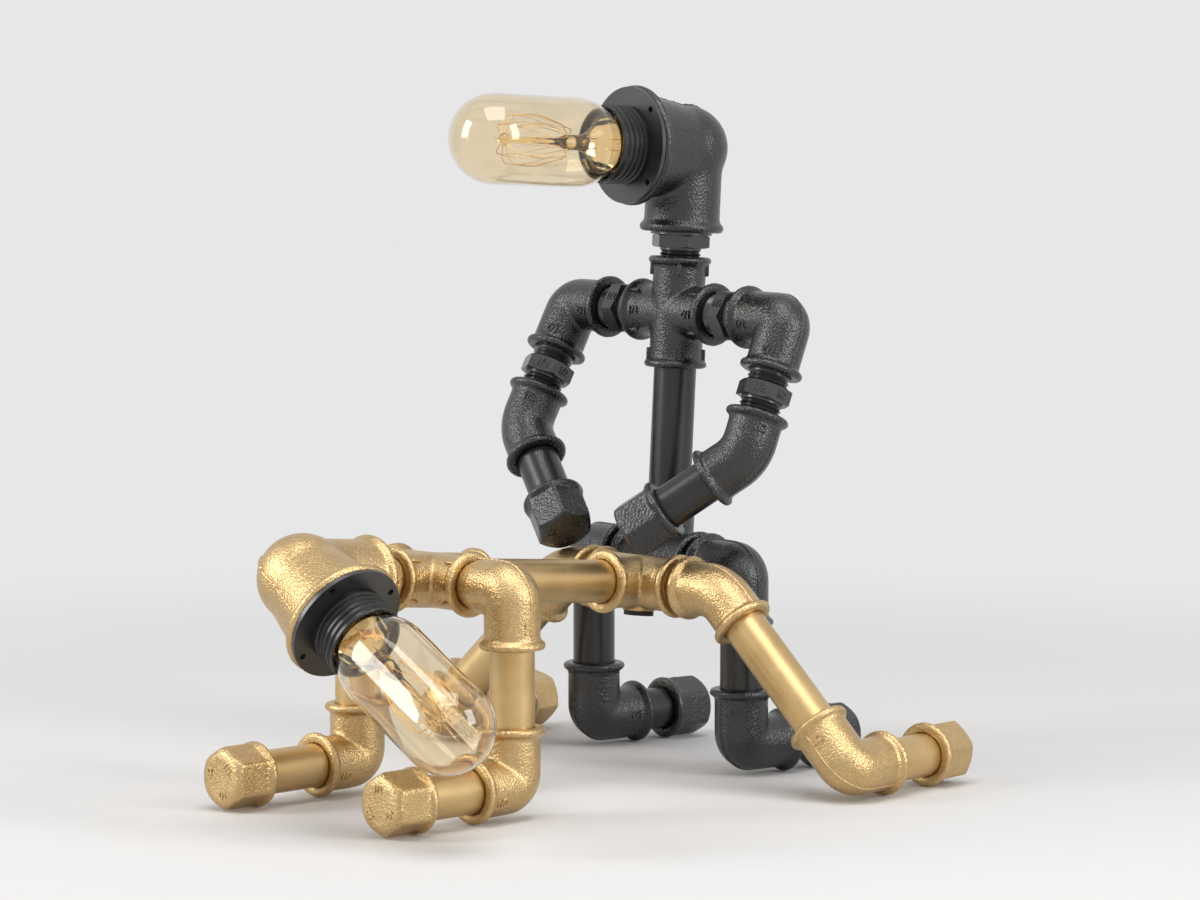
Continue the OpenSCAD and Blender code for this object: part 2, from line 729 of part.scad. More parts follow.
module black_neck_nipple() {
    black() multmatrix(chest_frame) translate([0, 0, square_reach]) neck_nipple();
}
module shoulder_nipple(side) {
    black() multmatrix(chest_frame) translate([0, side * (square_reach + nipple_gap / 2), 0])
        rotate([90, 0, 0]) hex_nipple();
}
module shoulder_elbow(side) {
    black() multmatrix(shoulder_frame(side) * axes([0, 0, 0], [0, -side, 0], [0, 0, -1])) square_elbow();
}
module arm_nipple(side) {
    black() multmatrix(shoulder_frame(side)) translate([0, 0, -square_reach - nipple_gap / 2]) hex_nipple();
}
module arm_bend(side) { black() multmatrix(arm_bend_frame(side)) slant_elbow(); }
module forearm_pipe(side) {
    black() multmatrix(arm_bend_frame(side)) rotate([0, 135, 0])
        translate([0, 0, slant_reach]) pipe(forearm(side));
}
module hand_cap(side) {
    black() multmatrix(arm_bend_frame(side)) rotate([0, 135, 0])
        translate([0, 0, slant_reach + forearm(side)]) end_cap();
}
module black_left_shoulder_nipple() { shoulder_nipple(1); }
module black_right_shoulder_nipple() { shoulder_nipple(-1); }
module black_left_shoulder_elbow() { shoulder_elbow(1); }
module black_right_shoulder_elbow() { shoulder_elbow(-1); }
module black_left_arm_nipple() { arm_nipple(1); }
module black_right_arm_nipple() { arm_nipple(-1); }
module black_left_arm_bend() { arm_bend(1); }
module black_right_arm_bend() { arm_bend(-1); }
module black_left_forearm_pipe() { forearm_pipe(1); }
module black_right_forearm_pipe() { forearm_pipe(-1); }
module black_left_hand_cap() { hand_cap(1); }
module black_right_hand_cap() { hand_cap(-1); }

// ---- Heads, lampholders and bulbs ----

module black_head_elbow() { black() multmatrix(black_head_frame) head_elbow(); }
module gold_head_elbow() { gold() multmatrix(gold_head_frame) head_elbow(); }
module in_black_head() { multmatrix(black_head_frame) rotate([0, 90, 0]) children(); }
module in_gold_head() { multmatrix(gold_head_frame) rotate([0, 90, 0]) children(); }
module black_flange_disc() { phenolic() in_black_head() flange_disc(); }
module black_lampholder() { phenolic() in_black_head() lampholder(); }
module black_screw_shell() { brass() in_black_head() screw_shell(); }
module black_bulb_cap() { brass() in_black_head() bulb_cap(); }
module black_bulb_glass() { amber() in_black_head() bulb_glass(); }
module black_bulb_stem() { amber() in_black_head() bulb_stem(); }
module black_bulb_filament() { brass() in_black_head() bulb_filament(); }
module gold_flange_disc() { phenolic() in_gold_head() flange_disc(); }
module gold_lampholder() { phenolic() in_gold_head() lampholder(); }
module gold_screw_shell() { brass() in_gold_head() screw_shell(); }
module gold_bulb_cap() { brass() in_gold_head() bulb_cap(); }
module gold_bulb_glass() { amber() in_gold_head() bulb_glass(); }
module gold_bulb_stem() { amber() in_gold_head() bulb_stem(); }
module gold_bulb_filament() { brass() in_gold_head() bulb_filament(); }

// ---- Lower figure ----

low_tee_frame = low_pelvis_frame * turn_y(-spine_slope) * axes([0, 0, 0], [1, 0, 0], [0, 1, 0]);

module gold_pelvis_tee() { gold() multmatrix(low_tee_frame) inlet_tee(90); }
module gold_cord_grommet() { rubber() multmatrix(low_tee_frame) grommet(90); }
module gold_hip_nipples() {
    gold() for (side = [1, -1])
        multmatrix(low_pelvis_frame) translate([0, side * (square_reach + close_gap / 2), 0])
            rotate([90, 0, 0]) close_nipple();
}
module gold_hip_bends() { gold() for (side = [1, -1]) multmatrix(low_hip_frame(side)) slant_elbow(); }
module gold_thigh_pipes() {
    gold() for (side = [1, -1])
        multmatrix(low_knee_frame(side)) translate([0, 0, square_reach])
            pipe(thigh_len(side) - square_reach - slant_reach);
}
module gold_knee_elbows() { gold() for (side = [1, -1]) multmatrix(low_knee_frame(side)) square_elbow(); }
module gold_shin_pipes() {
    gold() for (side = [1, -1])
        multmatrix(low_knee_frame(side)) rotate([0, 90, 0]) translate([0, 0, square_reach]) pipe(low_shin);
}
module gold_foot_caps() {
    gold() for (side = [1, -1])
        multmatrix(low_knee_frame(side)) rotate([0, 90, 0])
            translate([0, 0, square_reach + low_shin]) end_cap();
}
module gold_spine_pipe() {
    gold() multmatrix(low_chest_frame * along_x) translate([0, 0, square_reach - spine_rise])
        pipe(spine_rise - 2 * square_reach);
}
module gold_shoulder_cross() { gold() multmatrix(low_chest_frame * along_x) pipe_cross(); }
module gold_neck_nipple() {
    gold() multmatrix(low_chest_frame * along_x) translate([0, 0, square_reach]) neck_nipple();
}
module low_shoulder_elbow(side) {
    gold() multmatrix(low_shoulder_frame(side) * axes([0, 0, 0], [0, 0, -1], [0, -side, 0])) street_elbow();
}
module gold_left_shoulder_elbow() { low_shoulder_elbow(1); }
module gold_right_shoulder_elbow() { low_shoulder_elbow(-1); }
module gold_arm_pipes() {
    gold() for (side = [1, -1])
        multmatrix(wrist_frame(side)) translate([0, 0, square_reach])
            pipe(chest_z - wrist_z - 2 * square_reach);
}
module gold_wrist_elbows() { gold() for (side = [1, -1]) multmatrix(wrist_frame(side)) square_elbow(); }
module low_forearm_pipe(side) {
    gold() multmatrix(wrist_frame(side)) rotate([0, 90, 0])
        translate([0, 0, square_reach]) pipe(low_forearm(side));
}
module gold_left_forearm_pipe() { low_forearm_pipe(1); }
module gold_right_forearm_pipe() { low_forearm_pipe(-1); }
module gold_hand_caps() {
    gold() for (side = [1, -1])
        multmatrix(wrist_frame(side)) rotate([0, 90, 0])
            translate([0, 0, square_reach + low_forearm(side)]) end_cap();
}

// ---- Drawing ----

black_pelvis_tee();
black_hip_nipples();
black_hip_elbows();
black_thigh_pipes();
black_knee_elbows();
black_shin_pipes();
black_foot_caps();
black_torso_pipe();
black_shoulder_cross();
black_neck_nipple();
black_cord_grommet();
black_left_shoulder_nipple();
black_right_shoulder_nipple();
black_left_shoulder_elbow();
black_left_arm_nipple();
black_left_arm_bend();
black_left_forearm_pipe();
black_left_hand_cap();
black_right_shoulder_elbow();
black_right_arm_nipple();
black_right_arm_bend();
black_right_forearm_pipe();
black_right_hand_cap();
black_head_elbow();
black_flange_disc();
black_lampholder();
black_screw_shell();
black_bulb_cap();
black_bulb_glass();
black_bulb_stem();
black_bulb_filament();
gold_pelvis_tee();
gold_hip_nipples();
gold_hip_bends();
gold_thigh_pipes();
gold_knee_elbows();
gold_shin_pipes();
gold_foot_caps();
gold_spine_pipe();
gold_shoulder_cross();
gold_left_shoulder_elbow();
gold_right_shoulder_elbow();
gold_arm_pipes();
gold_wrist_elbows();
gold_left_forearm_pipe();
gold_right_forearm_pipe();
gold_hand_caps();
gold_neck_nipple();
gold_cord_grommet();
gold_head_elbow();
gold_flange_disc();
gold_lampholder();
gold_screw_shell();
gold_bulb_cap();
gold_bulb_glass();
gold_bulb_stem();
gold_bulb_filament();
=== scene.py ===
import bpy
import json
import math
import random
from mathutils import Matrix, Vector


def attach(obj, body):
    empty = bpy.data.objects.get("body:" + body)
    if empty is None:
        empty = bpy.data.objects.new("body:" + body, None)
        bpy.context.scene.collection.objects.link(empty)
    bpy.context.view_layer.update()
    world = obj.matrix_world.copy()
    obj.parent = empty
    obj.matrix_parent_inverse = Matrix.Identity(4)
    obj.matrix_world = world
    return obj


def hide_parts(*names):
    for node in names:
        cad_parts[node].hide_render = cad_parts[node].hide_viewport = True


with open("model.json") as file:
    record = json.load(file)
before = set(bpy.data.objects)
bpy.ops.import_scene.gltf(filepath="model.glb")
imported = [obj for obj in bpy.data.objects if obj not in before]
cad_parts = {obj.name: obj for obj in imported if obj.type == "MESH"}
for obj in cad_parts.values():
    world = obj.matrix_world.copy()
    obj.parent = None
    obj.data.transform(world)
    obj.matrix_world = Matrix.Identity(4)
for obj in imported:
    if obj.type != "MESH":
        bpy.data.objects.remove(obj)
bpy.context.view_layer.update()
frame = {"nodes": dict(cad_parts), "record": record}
nodes = frame["nodes"]
bodyOf = {}
for bodyName, members in frame["record"]["behaviour"]["bodies"].items():
    for member in members:
        bodyOf[member] = bodyName
slotOf = {entry["node"]: entry["material_slot"] for entry in frame["record"]["subparts"]}
print("frame loaded:", len(nodes), "nodes")

# camera: long lens from the figures' front left, slightly above

cameraView = {
    "place": (1.59396, 1.66923, 0.38064),
    "looks": (-0.6984, -0.7097, -0.0930),
    "up": (-0.0652, -0.0663, 0.9957),
    "lens": 143.34,
}


def addCamera():
    bpy.ops.object.camera_add(location=cameraView["place"])
    camera = bpy.context.object
    backwards = -Vector(cameraView["looks"]).normalized()
    right = Vector(cameraView["up"]).cross(backwards).normalized()
    up = backwards.cross(right)
    turn = Matrix((right, up, backwards)).transposed().to_4x4()
    camera.matrix_world = Matrix.Translation(cameraView["place"]) @ turn
    camera.data.sensor_width = 36
    camera.data.lens = cameraView["lens"]
    camera.data.clip_end = 20
    bpy.context.scene.camera = camera


addCamera()

# finishes


class Field:
    # an output socket that takes part in sums
    def __init__(self, owner, socket):
        self.owner = owner
        self.socket = socket

    def combine(self, operation, first, second):
        return self.owner.node("ShaderNodeMath", {"operation": operation}, {0: first, 1: second})

    def __add__(self, other):
        return self.combine("ADD", self, other)

    def __radd__(self, other):
        return self.combine("ADD", other, self)

    def __rsub__(self, other):
        return self.combine("SUBTRACT", other, self)

    def __mul__(self, other):
        return self.combine("MULTIPLY", self, other)

    def __rmul__(self, other):
        return self.combine("MULTIPLY", other, self)


class NodeSet:
    # the nodes of one material or of the world
    def __init__(self, tree):
        self.tree = tree

    def give(self, socket, value):
        if isinstance(value, Field):
            self.tree.links.new(value.socket, socket)
        else:
            socket.default_value = value

    def node(self, kind, settings=None, values=None, output=0):
        made = self.tree.nodes.new(kind)
        for key, value in (settings or {}).items():
            if key == "stops":
                ramp = made.color_ramp
                while len(ramp.elements) < len(value):
                    ramp.elements.new(0.5)
                for element, (place, colour) in zip(ramp.elements, value):
                    element.position = place
                    element.color = colour
            else:
                setattr(made, key, value)
        for key, value in (values or {}).items():
            self.give(made.inputs[key], value)
        return Field(self, made.outputs[output])


class Finish(NodeSet):
    def __init__(self, name):
        self.material = bpy.data.materials.new(name)
        self.material.use_nodes = True
        super().__init__(self.material.node_tree)
        self.shader = self.tree.nodes["Principled BSDF"]

    def place(self):
        return self.node("ShaderNodeTexCoord", output="Object")

    def noise(self, scale, detail=2.0, rough=0.5):
        values = {"Vector": self.place(), "Scale": scale, "Detail": detail, "Roughness": rough}
        return self.node("ShaderNodeTexNoise", None, values)

    def ramp(self, factor, low, high):
        stops = [(low, (0, 0, 0, 1)), (high, (1, 1, 1, 1))]
        return self.node("ShaderNodeValToRGB", {"stops": stops}, {"Fac": factor})

    def blend(self, factor, first, second):
        return self.node("ShaderNodeMix", {"data_type": "RGBA"}, {0: factor, 6: first, 7: second}, 2)

    def bump(self, height, distance, strength=1.0):
        values = {"Height": height, "Distance": distance, "Strength": strength}
        return self.node("ShaderNodeBump", None, values, "Normal")

    def surface(self, **values):
        names = {
            "colour": "Base Color",
            "roughness": "Roughness",
            "metallic": "Metallic",
            "normal": "Normal",
            "transmission": "Transmission Weight",
            "ior": "IOR",
            "specular": "Specular IOR Level",
        }
        for key, value in values.items():
            self.give(self.shader.inputs[names[key]], value)
        return self.material


# deep and bright: the shaded and lit tones that the castings' relief mixes as painted shade and painted
# highlight, and that broad random patches mix too
castGold = {
    "deep": (0.40, 0.26, 0.11, 1),
    "bright": (0.69, 0.50, 0.25, 1),
    "rough": 0.23,
    "shine": 0.5,
    "grain": 1000,
    "lump": 400,
    "raise": 0.00042,
}
castBlack = {
    "deep": (0.004, 0.004, 0.005, 1),
    "bright": (0.011, 0.011, 0.013, 1),
    "rough": 0.15,
    "shine": 0.75,
    "grain": 900,
    "lump": 360,
    "raise": 0.00046,
}


def castFinish(name, look, metallic):
    # sprayed sand casting: fine pebbles over broader lumps, with painted highlight on the high spots and
    # painted shade in the hollows of that relief
    finish = Finish(name)
    cells = {"Vector": finish.place(), "Scale": look["grain"], "Smoothness": 0.5}
    pebbles = finish.node("ShaderNodeTexVoronoi", {"feature": "SMOOTH_F1"}, cells)
    fine = finish.noise(look["grain"] * 1.9, 3, 0.6)
    lumps = finish.noise(look["lump"], 3, 0.55)
    patches = finish.ramp(finish.noise(60, 3), 0.35, 0.68)
    height = (1 - pebbles) * 0.62 + fine * 0.34 + lumps * 0.50
    # painted highlight and painted shade: the colour follows the height of the relief, lighter on top and
    # darker in the hollows
    paintedReliefLight = finish.ramp(height, 0.66, 0.98)
    colour = finish.blend(paintedReliefLight * 0.40 + patches * 0.24 + 0.36, look["deep"], look["bright"])
    return finish.surface(
        colour=colour,
        metallic=metallic,
        roughness=look["rough"] + fine * 0.16 + patches * 0.06,
        specular=look["shine"],
        normal=finish.bump(height, look["raise"], 0.85),
    )


pipeGold = {
    "deep": (0.52, 0.36, 0.16, 1),
    "bright": (0.66, 0.47, 0.23, 1),
    "rough": 0.30,
    "shine": 0.5,
}
pipeBlack = {
    "deep": (0.005, 0.005, 0.006, 1),
    "bright": (0.010, 0.010, 0.012, 1),
    "rough": 0.24,
    "shine": 0.6,
}
wrenchBlack = {
    "deep": (0.010, 0.010, 0.011, 1),
    "bright": (0.030, 0.030, 0.032, 1),
    "rough": 0.17,
    "shine": 0.9,
}
# flange discs: black paint made a shade lighter than the other blacks, as painted reflection of the light on
# the satin face
discBlack = {
    "deep": (0.014, 0.014, 0.014, 1),
    "bright": (0.026, 0.026, 0.026, 1),
    "rough": 0.27,
    "shine": 0.9,
}


def pipeFinish(name, look, metallic):
    # sprayed pipe, wrench flats and flange discs: smooth, with a faint orange peel
    finish = Finish(name)
    peel = finish.noise(700, 2)
    speck = finish.noise(2600, 2)
    patches = finish.ramp(finish.noise(45, 3), 0.3, 0.7)
    return finish.surface(
        colour=finish.blend(patches, look["deep"], look["bright"]),
        metallic=metallic,
        roughness=look["rough"] + patches * 0.05 + speck * 0.08,
        specular=look["shine"],
        normal=finish.bump(peel * 0.8 + speck * 0.2, 0.00006, 0.6),
    )


def phenolicFinish():
    finish = Finish("phenolic")
    dust = finish.noise(900, 3)
    return finish.surface(
        colour=finish.blend(dust, (0.010, 0.010, 0.010, 1), (0.020, 0.019, 0.018, 1)),
        roughness=0.22 + dust * 0.14,
        normal=finish.bump(dust, 0.00004, 0.5),
    )


def brassFinish():
    finish = Finish("brass")
    stain = finish.noise(180, 4)
    return finish.surface(
        colour=finish.blend(stain, (0.55, 0.38, 0.14, 1), (0.80, 0.62, 0.30, 1)),
        metallic=1.0,
        roughness=0.22 + stain * 0.18,
    )


def rubberFinish():
    finish = Finish("rubber")
    grain = finish.noise(1500, 2)
    return finish.surface(
        colour=(0.015, 0.015, 0.015, 1),
        roughness=0.6 + grain * 0.2,
        normal=finish.bump(grain, 0.00004, 0.5),
    )


def glassFinish(name, tint, rough):
    finish = Finish(name)
    wave = finish.noise(35, 2)
    return finish.surface(
        colour=tint,
        transmission=1.0,
        ior=1.46,
        roughness=rough,
        normal=finish.bump(wave, 0.0002, 0.12),
    )


def wireFinish(name, colour, rough):
    finish = Finish(name)
    drawn = finish.noise(3000, 2)
    return finish.surface(colour=colour, metallic=1.0, roughness=rough + drawn * 0.1)


finishes = {
    "black_fitting": castFinish("castBlack", castBlack, 0.0),
    "gold_fitting": castFinish("castGold", castGold, 0.92),
    "black_pipe": pipeFinish("pipeBlack", pipeBlack, 0.0),
    "gold_pipe": pipeFinish("pipeGold", pipeGold, 0.92),
    "phenolic": phenolicFinish(),
    "brass": brassFinish(),
    "rubber": rubberFinish(),
    "amber_glass": glassFinish("amberGlass", (0.95, 0.87, 0.71, 1), 0.0),
    "stem_glass": glassFinish("stemGlass", (0.96, 0.80, 0.52, 1), 0.03),
    "filament": wireFinish("filamentWire", (0.88, 0.60, 0.26, 1), 0.30),
}
wrenchFinish = pipeFinish("wrenchBlack", wrenchBlack, 0.0)
discFinish = pipeFinish("discBlack", discBlack, 0.0)


def nodeFinish(name):
    # black wrench flats and the flange discs are smoother than the castings and mouldings of their slots
    if name.startswith("black") and "nipple" in name:
        return wrenchFinish
    if "flange" in name:
        return discFinish
    return finishes[slotOf[name]]


for name, node in nodes.items():
    node.data.materials.clear()
    node.data.materials.append(nodeFinish(name))
print("finishes made")

# casting: a remeshed copy of each fitting, with the soft fillets of a casting

casting = {"voxel": 0.00085, "softenings": 7, "soften": 0.5, "weld": 0.00001}


def pickOnly(piece):
    bpy.ops.object.select_all(action="DESELECT")
    piece.select_set(True)
    bpy.context.view_layer.objects.active = piece


def applyAll(piece):
    pickOnly(piece)
    for modifier in list(piece.modifiers):
        bpy.ops.object.modifier_apply(modifier=modifier.name)


def castCopy(name):
    source = nodes[name]
    piece = source.copy()
    piece.data = source.data.copy()
    piece.name = name + "Casting"
    piece.parent = None
    for key in list(piece.keys()):
        del piece[key]
    bpy.context.scene.collection.objects.link(piece)
    pickOnly(piece)
    bpy.ops.object.mode_set(mode="EDIT")
    bpy.ops.mesh.select_all(action="SELECT")
    bpy.ops.mesh.remove_doubles(threshold=casting["weld"])
    bpy.ops.object.mode_set(mode="OBJECT")
    remesh = piece.modifiers.new("remesh", "REMESH")
    remesh.mode = "VOXEL"
    remesh.voxel_size = casting["voxel"]
    remesh.use_smooth_shade = True
    soften = piece.modifiers.new("soften", "SMOOTH")
    soften.iterations = casting["softenings"]
    soften.factor = casting["soften"]
    applyAll(piece)
    pickOnly(piece)
    bpy.ops.object.shade_smooth()
    piece.data.materials.clear()
    piece.data.materials.append(finishes[slotOf[name]])
    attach(piece, bodyOf[name])
    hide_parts(name)
    return piece


castWords = ("elbow", "bend", "cross", "tee", "cap")
castNodes = [n for n in nodes if slotOf[n].endswith("fitting") and any(w in n for w in castWords)]
castings = {name: castCopy(name) for name in castNodes}
print("castings made:", len(castings))

# where the fittings are: millimetres, from the same sizes as the solids

layout = {
    "origin": (-68.88, -6.32),
    "reach": 28.0,
    "slantReach": 22.0,
    "bend": 6.0,
    "slantBend": 20.0,
    "bodyRadius": 13.28,
    "beadRadius": 15.88,
    "beadWidth": 4.0,
    "closeGap": 4.6,
    "nippleGap": 20.4,
    "uprightBack": 174.8,
    "uprightSide": 16.8,
    "uprightTurn": 7.5,
    "lean": 3.2,
    "torso": 124.0,
    "shoulderTurn": 5.9,
    "uprightThigh": 31.0,
    "swing": {1: 19.2, -1: 26.0},
    "bendTurn": {1: 19.5, -1: -11.0},
    "forearm": {1: 24.9, -1: 25.3},
    "chestHeight": 108.0,
    "slope": 5.2,
    "spine": 140.2,
    "streetReach": 39.2,
    "threadIn": 12.6,
    "lowForearm": {1: 32.0, -1: 35.0},
    "slant": {1: 4.8, -1: -8.0},
    "lowShin": 31.0,
    "look": 61.0,
    "neckGap": 12.0,
    "headNeck": 42.2,
    "headReach": 35.3,
    "headTurn": 5.3,
}


def shift(x, y, z):
    return Matrix.Translation((x, y, z))


def turnY(angle):
    return Matrix.Rotation(math.radians(angle), 4, "Y")


def turnZ(angle):
    return Matrix.Rotation(math.radians(angle), 4, "Z")


def facing(place, x, z):
    alongX = Vector(x)
    alongZ = Vector(z)
    alongY = alongZ.cross(alongX)
    turned = Matrix((alongX, alongY, alongZ)).transposed().to_4x4()
    return Matrix.Translation(place) @ turned


def sine(angle):
    return math.sin(math.radians(angle))


def cosine(angle):
    return math.cos(math.radians(angle))


zero = (0, 0, 0)
kneeHeight = layout["beadRadius"]
hipHeight = kneeHeight + 2 * layout["reach"] + layout["uprightThigh"]
hipOut = 2 * layout["reach"] + layout["closeGap"]
shoulderOut = 2 * layout["reach"] + layout["nippleGap"]
headRise = layout["reach"] + layout["neckGap"] + layout["headNeck"]
armDrop = layout["reach"] + layout["nippleGap"] + layout["slantReach"]
lowHipOut = layout["reach"] + layout["closeGap"] + layout["slantReach"]
lowShoulderOut = layout["reach"] + layout["streetReach"] - layout["threadIn"]
lowPelvis = (
    -layout["spine"] * cosine(layout["slope"]),
    0,
    layout["chestHeight"] - layout["spine"] * sine(layout["slope"]),
)

lamp = shift(-layout["origin"][0], -layout["origin"][1], 0)
hips = lamp @ shift(-layout["uprightBack"], -layout["uprightSide"], hipHeight) @ turnZ(-layout["uprightTurn"])
torso = hips @ turnY(-layout["lean"])
chest = torso @ shift(0, 0, layout["torso"]) @ turnZ(layout["shoulderTurn"])
blackHead = chest @ shift(0, 0, headRise) @ turnZ(-layout["headTurn"])
blackTee = torso @ facing(zero, (0, 0, 1), (0, 1, 0))
lowChest = lamp @ shift(0, 0, layout["chestHeight"]) @ turnY(-layout["slope"])
lowHips = lamp @ shift(*lowPelvis)
goldHead = lowChest @ facing((headRise, 0, 0), (0, sine(layout["look"]), -cosine(layout["look"])), (1, 0, 0))
goldTee = lowHips @ turnY(-layout["slope"]) @ facing(zero, (1, 0, 0), (0, 1, 0))
goldCross = lowChest @ facing(zero, (0, 0, -1), (1, 0, 0))


def hipAt(side):
    return hips @ facing((0, side * hipOut, 0), (0, -side, 0), (0, 0, -1))


def kneeAt(side):
    return hips @ shift(0, side * hipOut, kneeHeight - hipHeight) @ facing(zero, (-1, 0, 0), (0, 0, 1))


def shoulderAt(side):
    return chest @ shift(0, side * shoulderOut, 0) @ turnY(-layout["swing"][side])


def shoulderElbowAt(side):
    return shoulderAt(side) @ facing(zero, (0, -side, 0), (0, 0, -1))


def armBendAt(side):
    turn = layout["bendTurn"][side]
    inwards = (sine(turn), -side * cosine(turn), 0)
    return shoulderAt(side) @ shift(0, 0, -armDrop) @ facing(zero, inwards, (0, 0, 1))


def lowShoulderAt(side):
    place = (0, side * lowShoulderOut, layout["chestHeight"])
    return lamp @ facing(place, (0, 0, -1), (0, -side, 0))


def wristAt(side):
    return lamp @ shift(0, side * lowShoulderOut, kneeHeight)


def thighWay(side):
    slant = layout["slant"][side]
    return Vector((-sine(45) * sine(slant), side * sine(45), -sine(45) * cosine(slant)))


def lowHipAt(side):
    slant = layout["slant"][side]
    return lowHips @ facing((0, side * lowHipOut, 0), (-sine(slant), 0, -cosine(slant)), (0, -side, 0))


def lowKneeAt(side):
    slant = layout["slant"][side]
    length = (lowPelvis[2] - kneeHeight) / (sine(45) * cosine(slant))
    turn = math.degrees(math.atan(sine(slant)))
    way = thighWay(side)
    place = Vector((0, side * lowHipOut, 0)) + length * way
    return lowHips @ facing(place, (-cosine(turn), -side * sine(turn), 0), -way)


def handAt(side):
    return armBendAt(side) @ turnY(135) @ shift(0, 0, layout["slantReach"] + layout["forearm"][side])


millimetres = Matrix.Scale(0.001, 4)


def settle(piece, at, name, slotName, body):
    # puts a piece that was modelled in millimetres at its fitting, as a finished mesh at the origin
    applyAll(piece)
    piece.data.transform(millimetres @ at @ piece.matrix_world)
    piece.matrix_world = Matrix.Identity(4)
    piece.name = name
    piece.data.materials.clear()
    piece.data.materials.append(finishes[slotName])
    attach(piece, body)
    return piece


def smooth(piece, angle=None):
    pickOnly(piece)
    if angle is None:
        bpy.ops.object.shade_smooth()
    else:
        bpy.ops.object.shade_smooth_by_angle(angle=math.radians(angle))


# parting seams: a low ridge along the outside of each bend

seam = {"radius": 0.75, "sunk": 0.32, "steps": 14}


def seamRidge(name, at, slotName, body, bend, turn, reach):
    # drawn down the first leg, spun round the bend and drawn out along the second leg
    start = reach - layout["beadWidth"] - 0.5
    straight = bend * math.tan(math.radians(turn / 2))
    bpy.ops.object.select_all(action="DESELECT")
    bpy.ops.mesh.primitive_circle_add(vertices=8, radius=seam["radius"], location=(0, 0, 0))
    ridge = bpy.context.object
    bpy.ops.object.mode_set(mode="EDIT")
    bpy.ops.mesh.select_all(action="SELECT")
    bpy.ops.transform.translate(value=(seam["sunk"] - layout["bodyRadius"], 0, start))
    bpy.ops.mesh.extrude_region_move(TRANSFORM_OT_translate={"value": (0, 0, straight - start)})
    bpy.ops.mesh.spin(
        steps=seam["steps"],
        angle=math.radians(turn),
        center=(bend, 0, straight),
        axis=(0, 1, 0),
    )
    out = turnY(180 - turn) @ Vector((0, 0, 1))
    bpy.ops.mesh.extrude_region_move(TRANSFORM_OT_translate={"value": out * (start - straight)})
    bpy.ops.mesh.select_all(action="SELECT")
    bpy.ops.mesh.remove_doubles(threshold=0.001)
    bpy.ops.mesh.normals_make_consistent(inside=False)
    bpy.ops.object.mode_set(mode="OBJECT")
    smooth(ridge)
    return settle(ridge, at, name, slotName, body)


squareFittings = []
for side, sideName in ((1, "left"), (-1, "right")):
    squareFittings += [
        ("blackHip" + sideName, hipAt(side), "black_fitting", "figures"),
        ("blackKnee" + sideName, kneeAt(side), "black_fitting", "figures"),
        ("blackShoulder" + sideName, shoulderElbowAt(side), "black_fitting", "black_" + sideName + "_arm"),
        ("goldWrist" + sideName, wristAt(side), "gold_fitting", "figures"),
        ("goldKnee" + sideName, lowKneeAt(side), "gold_fitting", "figures"),
        ("goldShoulder" + sideName, lowShoulderAt(side), "gold_fitting", "figures"),
    ]
slantFittings = []
for side, sideName in ((1, "left"), (-1, "right")):
    slantFittings += [
        ("blackArm" + sideName, armBendAt(side), "black_fitting", "black_" + sideName + "_forearm"),
        ("goldHip" + sideName, lowHipAt(side), "gold_fitting", "figures"),
    ]
for name, at, slotName, body in squareFittings:
    seamRidge(name + "Seam", at, slotName, body, layout["bend"], 90, layout["reach"])
for name, at, slotName, body in slantFittings:
    seamRidge(name + "Seam", at, slotName, body, layout["slantBend"], 45, layout["slantReach"])
print("seams made:", len(squareFittings) + len(slantFittings))

# size marks cast into the fittings

mark = {"word": "1/2", "size": 5.6, "raised": 0.45, "soft": 0.12, "bold": 0.05, "sunk": 0.12}


def sizeMark(name, at, slotName, body, place, outwards, up, size=None):
    bpy.ops.object.select_all(action="DESELECT")
    bpy.ops.object.text_add(location=(0, 0, 0))
    words = bpy.context.object
    words.data.body = mark["word"]
    words.data.size = size or mark["size"]
    words.data.align_x = "CENTER"
    words.data.align_y = "CENTER"
    words.data.extrude = mark["raised"]
    words.data.bevel_depth = mark["soft"]
    words.data.bevel_resolution = 1
    words.data.offset = mark["bold"]
    bpy.ops.object.convert(target="MESH")
    words = bpy.context.object
    normal = Vector(outwards).normalized()
    upright = Vector(up).normalized()
    right = upright.cross(normal)
    stand = Matrix((right, upright, normal)).transposed().to_4x4()
    words.matrix_world = Matrix.Translation(place) @ stand
    bpy.context.view_layer.update()
    return settle(words, at, name, slotName, body)


def portMark(name, at, slotName, body, portTurn, around, along, radius=None, size=None, upright=False):
    # on the barrel of one port: around is the angle about the port, along the way from the fitting's centre
    radius = (radius or layout["bodyRadius"]) - mark["sunk"]
    outwards = Vector((cosine(around), sine(around), 0))
    place = outwards * radius + Vector((0, 0, along))
    up = (0, 0, 1) if upright else Vector((-sine(around), cosine(around), 0))
    return sizeMark(name, at @ turnY(portTurn), slotName, body, place, outwards, up, size)


viewerWay = -Vector(cameraView["looks"])


def towardsViewer(at, portTurn, extra=0.0):
    # the angle about a port at which its barrel faces the front left
    turned = (at @ turnY(portTurn)).to_3x3().inverted() @ viewerWay
    return math.degrees(math.atan2(turned.y, turned.x)) + extra


def nearestFlat(angle):
    return 60 * round((angle - 30) / 60) + 30


